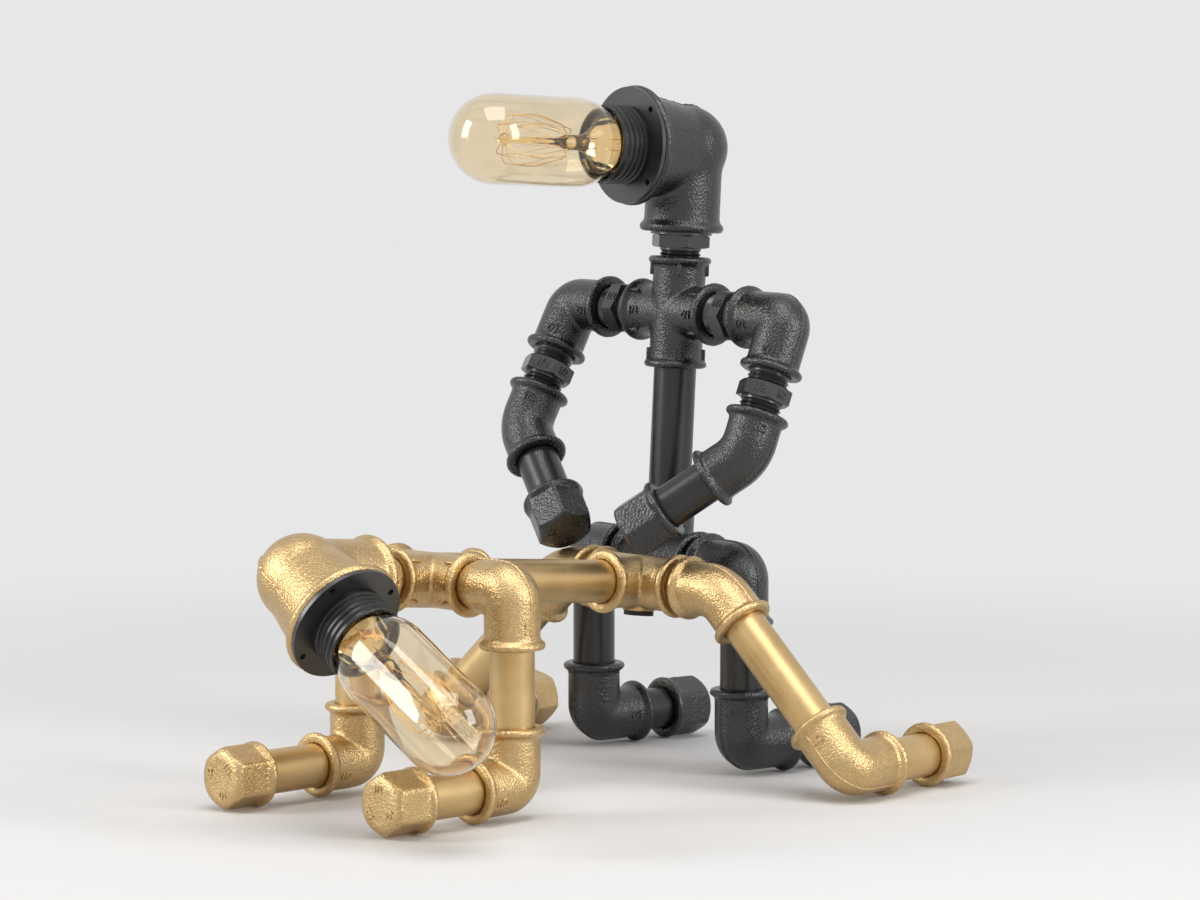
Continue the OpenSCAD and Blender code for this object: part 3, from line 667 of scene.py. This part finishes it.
barrelMarks = [
    ("blackShoulderLeftMark", shoulderElbowAt(1), "black_fitting", "black_left_arm", 0, 18, 19, True),
    ("blackShoulderLeftTopMark", shoulderElbowAt(1), "black_fitting", "black_left_arm", 90, -20, 19, False),
    ("blackShoulderRightMark", shoulderElbowAt(-1), "black_fitting", "black_right_arm", 90, 15, 19, False),
    ("blackShoulderRightLowMark", shoulderElbowAt(-1), "black_fitting", "black_right_arm", 0, 25, 19, True),
    ("blackArmLeftMark", armBendAt(1), "black_fitting", "black_left_forearm", 0, 10, 13, True),
    ("blackArmRightMark", armBendAt(-1), "black_fitting", "black_right_forearm", 0, -15, 13, True),
    ("goldShoulderLeftMark", lowShoulderAt(1), "gold_fitting", "figures", 90, -38, 17, False),
    ("goldWristLeftMark", wristAt(1), "gold_fitting", "figures", 90, -30, 18, False),
    ("goldWristRightMark", wristAt(-1), "gold_fitting", "figures", 90, -30, 18, False),
    ("goldKneeLeftMark", lowKneeAt(1), "gold_fitting", "figures", 0, -20, 17, True),
    ("blackKneeLeftMark", kneeAt(1), "black_fitting", "figures", 0, -15, 18, True),
    ("blackKneeRightMark", kneeAt(-1), "black_fitting", "figures", 90, 5, 18, False),
]
for name, at, slotName, body, portTurn, extra, along, upright in barrelMarks:
    portMark(name, at, slotName, body, portTurn, towardsViewer(at, portTurn, extra), along, upright=upright)

# crosses: a mark on each side arm
for name, at, slotName in (("blackCross", chest, "black_fitting"), ("goldCross", goldCross, "gold_fitting")):
    for side, sideName in ((1, "Left"), (-1, "Right")):
        arm = at @ Matrix.Rotation(math.radians(-90 * side), 4, "X")
        portMark(name + sideName + "Mark", arm, slotName, "figures", 0, towardsViewer(arm, 0, 6 * side), 19)

nippleFlat = {"across": 12.0, "size": 5.2}


def flatMark(name, at, body, extra=0.0, upright=True):
    flat = nearestFlat(towardsViewer(at, 0, extra))
    portMark(name, at, "black_fitting", body, 0, flat, 0, nippleFlat["across"], nippleFlat["size"], upright)


for side, sideName in ((1, "left"), (-1, "right")):
    nippleOut = layout["reach"] + layout["nippleGap"] / 2
    shoulderNipple = chest @ shift(0, side * nippleOut, 0) @ Matrix.Rotation(math.radians(90), 4, "X")
    armNipple = shoulderAt(side) @ shift(0, 0, -nippleOut)
    flatMark("blackShoulderNipple" + sideName + "Mark", shoulderNipple, "figures", upright=False)
    flatMark("blackArmNipple" + sideName + "Mark", armNipple, "black_" + sideName + "_arm")
    flatMark("blackArmNipple" + sideName + "NextMark", armNipple, "black_" + sideName + "_arm", 60)

cap = {"length": 24.0, "markRing": 7.6, "markSize": 4.6, "marks": 3}


def capMarks(name, at, slotName, body, turn):
    # marks round the blind end of a cap
    for number in range(cap["marks"]):
        angle = turn + 360 * number / cap["marks"]
        out = Vector((cosine(angle), sine(angle), 0))
        place = out * cap["markRing"] + Vector((0, 0, cap["length"] - 0.1))
        sizeMark(name + str(number), at, slotName, body, place, (0, 0, 1), out, cap["markSize"])


for side, sideName in ((1, "left"), (-1, "right")):
    goldHand = wristAt(side) @ turnY(90) @ shift(0, 0, layout["reach"] + layout["lowForearm"][side])
    goldFoot = lowKneeAt(side) @ turnY(90) @ shift(0, 0, layout["reach"] + layout["lowShin"])
    capMarks("goldHand" + sideName + "Mark", goldHand, "gold_fitting", "figures", 40 + 25 * side)
    capMarks("goldFoot" + sideName + "Mark", goldFoot, "gold_fitting", "figures", 15)
    forearm = "black_" + sideName + "_forearm"
    capMarks("blackHand" + sideName + "Mark", handAt(side), "black_fitting", forearm, 70)
print("size marks made")

# ribs beside the beads of the crosses

rib = {"length": 6.5, "width": 1.8, "raised": 1.5, "soft": 0.6, "intoBead": 0.8}


def addRib(name, at, slotName, around):
    bpy.ops.object.select_all(action="DESELECT")
    bpy.ops.mesh.primitive_cube_add(size=1, location=(0, 0, 0))
    lug = bpy.context.object
    bpy.ops.object.mode_set(mode="EDIT")
    bpy.ops.mesh.select_all(action="SELECT")
    bpy.ops.transform.resize(value=(rib["raised"] * 2, rib["width"], rib["length"]))
    bpy.ops.mesh.bevel(offset=rib["soft"], segments=3, affect="EDGES")
    along = layout["reach"] - layout["beadWidth"] - rib["length"] / 2 + rib["intoBead"]
    bpy.ops.transform.translate(value=(layout["bodyRadius"], 0, along))
    bpy.ops.object.mode_set(mode="OBJECT")
    smooth(lug)
    return settle(lug, at @ turnZ(around), name, slotName, "figures")


for name, at, slotName in (("blackCross", chest, "black_fitting"), ("goldCross", goldCross, "gold_fitting")):
    for number, turn in enumerate((0, 90, 180, 270)):
        arm = at @ Matrix.Rotation(math.radians(turn), 4, "X")
        for corner in (45, 135, 225, 315):
            addRib(name + "Rib" + str(number) + "at" + str(corner), arm, slotName, corner)
print("ribs made")

# lampholders: a turned body with a coarse helical thread

holder = {
    "centre": 0.5,
    "back": 23.3,
    "barrel": 15.8,
    "collar": (22.0, 32.3, 35.3),
    "seat": (18.1, 37.3),
    "root": 18.5,
    "crest": 19.6,
    "rim": 53.3,
    "lip": 19.2,
    "mouth": 17.7,
    "shelf": (13.8, 46.3),
    "floor": 27.3,
    "pitch": 3.2,
}


def lathe(profile, segments, closeStart=False, closeEnd=False):
    # a ring that is drawn out and resized station by station
    bpy.ops.object.select_all(action="DESELECT")
    radius, height = profile[0]
    bpy.ops.mesh.primitive_circle_add(vertices=segments, radius=radius, location=(0, 0, 0))
    piece = bpy.context.object
    bpy.ops.object.mode_set(mode="EDIT")
    bpy.ops.mesh.select_all(action="SELECT")
    bpy.ops.transform.translate(value=(0, 0, height))
    if closeStart:
        bpy.ops.mesh.edge_face_add()
    for nextRadius, nextHeight in profile[1:]:
        bpy.ops.mesh.extrude_region_move(TRANSFORM_OT_translate={"value": (0, 0, nextHeight - height)})
        if abs(nextRadius - radius) > 0.0001:
            grow = nextRadius / radius
            bpy.ops.transform.resize(value=(grow, grow, 1), center_override=(0, 0, nextHeight))
        radius, height = nextRadius, nextHeight
    if closeEnd:
        bpy.ops.mesh.edge_face_add()
        bpy.ops.mesh.poke()
    bpy.ops.mesh.select_all(action="SELECT")
    bpy.ops.mesh.normals_make_consistent(inside=False)
    bpy.ops.object.mode_set(mode="OBJECT")
    return piece


def helix(root, crest, pitch, low, high, segments=72):
    # one thread ridge wound between two heights
    bpy.ops.object.select_all(action="DESELECT")
    bpy.ops.mesh.primitive_circle_add(vertices=6, radius=1, location=(0, 0, 0))
    ridge = bpy.context.object
    sunk = root - 0.3
    flank = [(sunk, 0.42), (root, 0.36), (crest, 0.14)]
    section = [(radius, -height) for radius, height in flank] + flank[::-1]
    for vertex, (radius, height) in zip(ridge.data.vertices, section):
        vertex.co = (radius, 0, low + height * pitch)
    wind = ridge.modifiers.new("wind", "SCREW")
    wind.axis = "Z"
    wind.screw_offset = pitch
    wind.iterations = max(1, int((high - low) / pitch))
    wind.steps = segments
    wind.render_steps = segments
    wind.use_merge_vertices = False
    applyAll(ridge)
    pickOnly(ridge)
    bpy.ops.object.mode_set(mode="EDIT")
    bpy.ops.mesh.select_all(action="SELECT")
    bpy.ops.mesh.normals_make_consistent(inside=False)
    bpy.ops.object.mode_set(mode="OBJECT")
    return ridge


def join(first, second):
    bpy.ops.object.select_all(action="DESELECT")
    second.select_set(True)
    first.select_set(True)
    bpy.context.view_layer.objects.active = first
    bpy.ops.object.join()
    return first


def addHolder(figure, at):
    collarRadius, collarBack, collarFront = holder["collar"]
    seatRadius, seatFront = holder["seat"]
    shelfRadius, shelfHeight = holder["shelf"]
    lip, mouth, rim = holder["lip"], holder["mouth"], holder["rim"]
    profile = [
        (holder["centre"], holder["back"]),
        (holder["barrel"], holder["back"]),
        (holder["barrel"], collarBack),
        (collarRadius, collarBack),
        (collarRadius, collarFront),
        (seatRadius, collarFront),
        (seatRadius, seatFront),
        (holder["root"], seatFront),
        (holder["root"], rim - 1.5),
        (lip, rim - 1.1),
        (lip, rim - 0.2),
        (lip - 0.2, rim),
        (mouth + 0.2, rim),
        (mouth, rim - 0.2),
        (mouth, shelfHeight),
        (shelfRadius, shelfHeight),
        (shelfRadius, holder["floor"]),
        (holder["centre"], holder["floor"]),
    ]
    turned = lathe(profile, 72, True, True)
    thread = helix(holder["root"], holder["crest"], holder["pitch"], seatFront + 1.3, rim - 1.5)
    join(turned, thread)
    smooth(turned, 35)
    settle(turned, at @ turnY(90), figure + "HolderBody", "phenolic", figure + "_head")
    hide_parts(figure + "_lampholder")


addHolder("black", blackHead)
addHolder("gold", goldHead)
print("lampholders made")

# bulbs

bulb = {
    "radius": 22.2,
    "tip": 141.3,
    "wall": 0.8,
    "neck": [
        (11.1, 37.2), (11.1, 48.6), (13.6, 50.2), (15.6, 51.8), (16.9, 53.6),
        (18.3, 56.2), (19.9, 59.4), (21.2, 62.8), (21.9, 66.0), (22.2, 70.0),
    ],
    "flareRim": (14.9, 52.9),
    "flareCurve": 2.3,
    "flareRings": 21,
    "press": (3.8, 70.0),
    "rod": 1.5,
    "rodEnd": 110.0,
    "button": 3.0,
}
cage = {
    "runs": 10,
    "lowRadius": 8.5,
    "highRadius": 12.5,
    "low": 78.0,
    "high": 108.0,
    "bow": 2.2,
    "filament": 0.17,
    "support": 0.24,
}


def addGlass(figure, at):
    dome = bulb["tip"] - bulb["radius"]
    profile = list(bulb["neck"]) + [(bulb["radius"], z) for z in (80.0, 95.0, 108.0)]
    profile += [(bulb["radius"] * cosine(a), dome + bulb["radius"] * sine(a)) for a in range(0, 85, 6)]
    profile.append((bulb["radius"] * cosine(88), dome + bulb["radius"] * sine(88)))
    glass = lathe(profile, 96, False, True)
    wall = glass.modifiers.new("wall", "SOLIDIFY")
    wall.thickness = bulb["wall"]
    wall.offset = -1
    smooth(glass)
    settle(glass, at @ turnY(90), figure + "BulbGlass", "amber_glass", figure + "_bulb")
    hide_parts(figure + "_bulb_glass")


def addStem(figure, at):
    # trumpet-shaped flare, the pinched press on it, then the rod with its button
    rimRadius, rimHeight = bulb["flareRim"]
    pressRadius, pressHeight = bulb["press"]
    profile = [(rimRadius - 0.5, rimHeight - 0.3)]
    for number in range(bulb["flareRings"] + 1):
        along = number / bulb["flareRings"]
        radius = pressRadius + (rimRadius - pressRadius) * (1 - along) ** bulb["flareCurve"]
        profile.append((radius, rimHeight + (pressHeight - rimHeight) * along))
    profile += [
        (3.5, 76.0),
        (2.6, 79.0),
        (bulb["rod"], 81.5),
        (bulb["rod"], 95.0),
        (bulb["rod"], bulb["rodEnd"]),
        (2.4, bulb["rodEnd"] + 1.0),
        (bulb["button"], bulb["rodEnd"] + 2.2),
        (bulb["button"], bulb["rodEnd"] + 3.4),
        (2.2, bulb["rodEnd"] + 4.8),
        (0.8, bulb["rodEnd"] + 5.4),
    ]
    stem = lathe(profile, 72, True, True)
    smooth(stem, 50)
    settle(stem, at @ turnY(90), figure + "BulbStem", "stem_glass", figure + "_bulb")
    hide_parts(figure + "_bulb_stem")


def wire(paths, radius, swell=None):
    curve = bpy.data.curves.new("wire", "CURVE")
    curve.dimensions = "3D"
    curve.bevel_depth = radius
    curve.bevel_resolution = 1
    curve.resolution_u = 6
    curve.use_fill_caps = True
    for points in paths:
        spline = curve.splines.new("NURBS")
        spline.points.add(len(points) - 1)
        for number, (point, co) in enumerate(zip(spline.points, points)):
            point.co = (co[0], co[1], co[2], 1)
            point.radius = swell[number] if swell else 1
        spline.order_u = 3
        spline.use_endpoint_u = True
    piece = bpy.data.objects.new("wire", curve)
    bpy.context.scene.collection.objects.link(piece)
    pickOnly(piece)
    bpy.ops.object.convert(target="MESH")
    return bpy.context.object


def ring(number, radius, height):
    angle = 360 * number / cage["runs"]
    return (radius * cosine(angle), radius * sine(angle), height)


def addFilament(figure, at, seed):
    # hairpin runs between two crowns of hooks, which the press and the button hold
    shake = random.Random(seed)
    runs = cage["runs"]
    hair = []
    middle = (cage["low"] + cage["high"]) / 2
    for number in range(runs):
        lean = shake.uniform(-0.05, 0.05)
        bow = cage["bow"] + shake.uniform(-0.6, 0.6)
        outer = cage["highRadius"] + bow * 0.5
        inner = cage["lowRadius"] + bow
        low = ring(number, cage["lowRadius"], cage["low"])
        high = ring(number + 0.5, cage["highRadius"], cage["high"])
        nextLow = ring(number + 1, cage["lowRadius"], cage["low"])
        rising = [ring(number + 0.2, inner, middle - 6), ring(number + 0.35 + lean, outer, middle + 6)]
        falling = [ring(number + 0.65 + lean, outer, middle + 6), ring(number + 0.8, inner, middle - 6)]
        hair.append([low] + rising + [high])
        if number < runs - 1:
            hair.append([high] + falling + [nextLow])
    filament = wire(hair, cage["filament"])
    holding = []
    for number in range(runs):
        high = ring(number + 0.5, cage["highRadius"], cage["high"])
        root = ring(number + 0.5, bulb["button"] * 0.8, bulb["rodEnd"] + 2.8)
        over = ring(number + 0.5, 7.0, cage["high"] + 4.5)
        hook = ring(number + 0.5, cage["highRadius"] - 0.4, cage["high"] + 2.4)
        holding.append([root, over, hook, high])
        if number % 2 == 0:
            low = ring(number, cage["lowRadius"], cage["low"])
            foot = ring(number, 3.0, 76.5)
            under = ring(number, 5.6, 75.2)
            hook = ring(number, cage["lowRadius"] - 0.2, cage["low"] - 1.6)
            holding.append([foot, under, hook, low])
    for side in (1, -1):
        # lead wires from inside the flare to the lower crown
        lead = [(1.6, 0, 56.0), (2.0, 0, 66.0), (3.2, 0, 73.0), (5.4, 0.6, 76.0)]
        lead.append((cage["lowRadius"], 0, cage["low"]))
        holding.append([(side * x, side * y, z) for x, y, z in lead])
    supports = wire(holding, cage["support"])
    join(filament, supports)
    smooth(filament)
    settle(filament, at @ turnY(90), figure + "BulbFilament", "filament", figure + "_bulb")
    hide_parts(figure + "_bulb_filament")


for number, (figure, at) in enumerate((("black", blackHead), ("gold", goldHead))):
    addGlass(figure, at)
    addStem(figure, at)
    addFilament(figure, at, 11 + number)
print("bulbs made")

# beaded parting seam over each head

headShape = {
    "ball": 21.5,
    "neckBody": 19.0,
    "neckFrom": 36.8,
    "rimBody": 26.3,
    "rimFrom": 29.9,
    "seam": 0.85,
    "proud": 0.15,
    "softenings": 45,
    "apart": 2,
}


def softenHead(figure, at):
    # cone, ball and neck run into each other as in one casting, and the beads stay as they are
    piece = castings[figure + "_head_elbow"]
    intoHead = (millimetres @ at).inverted()
    places = [intoHead @ vertex.co for vertex in piece.data.vertices]
    front = headShape["rimFrom"] - headShape["apart"]
    bottom = headShape["apart"] - headShape["neckFrom"]
    middle = [number for number, place in enumerate(places) if place.x < front and place.z > bottom]
    piece.vertex_groups.new(name="middle").add(middle, 1.0, "REPLACE")
    blend = piece.modifiers.new("blend", "SMOOTH")
    blend.vertex_group = "middle"
    blend.iterations = headShape["softenings"]
    blend.factor = casting["soften"]
    applyAll(piece)


def headSeam(figure, at, seed):
    shake = random.Random(seed)
    ball = headShape["ball"] - headShape["proud"]
    neck = headShape["neckBody"] - headShape["proud"]
    rim = headShape["rimBody"] - headShape["proud"]
    corners = [(headShape["rimFrom"], rim), (4.0, ball - 0.15)]
    corners += [(-ball * sine(a), ball * cosine(a)) for a in range(0, 118, 6)]
    corners += [(-neck, -13.0), (-neck, -headShape["neckFrom"])]
    points = []
    for (x, z), (nextX, nextZ) in zip(corners, corners[1:]):
        pieces = max(1, round(math.hypot(nextX - x, nextZ - z) / 1.1))
        points += [(x + (nextX - x) * n / pieces, 0, z + (nextZ - z) * n / pieces) for n in range(pieces)]
    swell = [shake.uniform(0.7, 1.25) for _ in points]
    ridge = wire([points], headShape["seam"], swell)
    smooth(ridge)
    settle(ridge, at, figure + "HeadSeam", figure + "_fitting", figure + "_head")


for figure, at, seed in (("black", blackHead, 5), ("gold", goldHead, 8)):
    softenHead(figure, at)
    headSeam(figure, at, seed)
print("heads finished")

# floor and light

studio = {
    "floor": (0.76, 0.75, 0.74, 1),
    "floorFleck": (0.78, 0.77, 0.76, 1),
    "floorRadius": 9,
    "backdrop": (0.80, 0.80, 0.81, 1),
    "fill": 0.42,
    "fadeFrom": 0.30,
    "fadeTo": 0.95,
}


def seenDirectly(owner):
    # camera, mirror and see-through rays meet the pale backdrop itself
    ray = owner.node("ShaderNodeLightPath")
    outputs = ray.socket.node.outputs
    seen = ray + Field(owner, outputs["Is Glossy Ray"]) + Field(owner, outputs["Is Transmission Ray"])
    return owner.node("ShaderNodeMath", {"operation": "MINIMUM"}, {0: seen, 1: 1.0})


def addFloor():
    # pale paper that fades into the backdrop away from the lamp
    radius = studio["floorRadius"]
    bpy.ops.mesh.primitive_circle_add(vertices=64, radius=radius, fill_type="NGON", location=(0, 0, 0))
    floor = bpy.context.object
    floor.name = "floor"
    finish = Finish("floorPaper")
    fibre = finish.noise(60, 4)
    colour = finish.blend(fibre, studio["floor"], studio["floorFleck"])
    paper = finish.surface(colour=colour, roughness=0.75)
    away = finish.node("ShaderNodeVectorMath", {"operation": "LENGTH"}, {0: finish.place()}, "Value")
    span = {0: away, 1: studio["fadeFrom"], 2: studio["fadeTo"]}
    fade = finish.node("ShaderNodeMapRange", {"interpolation_type": "SMOOTHSTEP"}, span)
    glow = finish.node("ShaderNodeEmission", None, {"Color": studio["backdrop"], "Strength": 1.0})
    matt = Field(finish, finish.shader.outputs["BSDF"])
    mixed = finish.node("ShaderNodeMixShader", None, {0: fade * seenDirectly(finish), 1: matt, 2: glow})
    finish.give(finish.tree.nodes["Material Output"].inputs["Surface"], mixed)
    floor.data.materials.append(paper)


def addArea(name, place, aim, size, power):
    bpy.ops.object.light_add(type="AREA", location=place)
    light = bpy.context.object
    light.name = name
    light.data.shape = "RECTANGLE"
    light.data.size = size[0]
    light.data.size_y = size[1]
    light.data.energy = power
    way = Vector(aim) - Vector(place)
    light.rotation_euler = way.to_track_quat("-Z", "Y").to_euler()


def addStudio():
    world = bpy.data.worlds.new("studioWorld")
    bpy.context.scene.world = world
    world.use_nodes = True
    sky = NodeSet(world.node_tree)
    background = sky.tree.nodes["Background"]
    sky.give(background.inputs["Color"], studio["backdrop"])
    sky.give(background.inputs["Strength"], seenDirectly(sky) * (1 - studio["fill"]) + studio["fill"])
    addArea("leftBox", (1.55, -1.05, 0.95), (0, 0, 0.15), (0.7, 1.2), 21)
    addArea("rightBox", (-0.4, 1.6, 0.8), (0, 0, 0.15), (0.6, 1.0), 13)
    addArea("topBox", (0.3, 0.4, 1.7), (0, 0, 0.1), (1.1, 1.1), 15)


addFloor()
addStudio()
bpy.context.scene.view_settings.view_transform = "Standard"
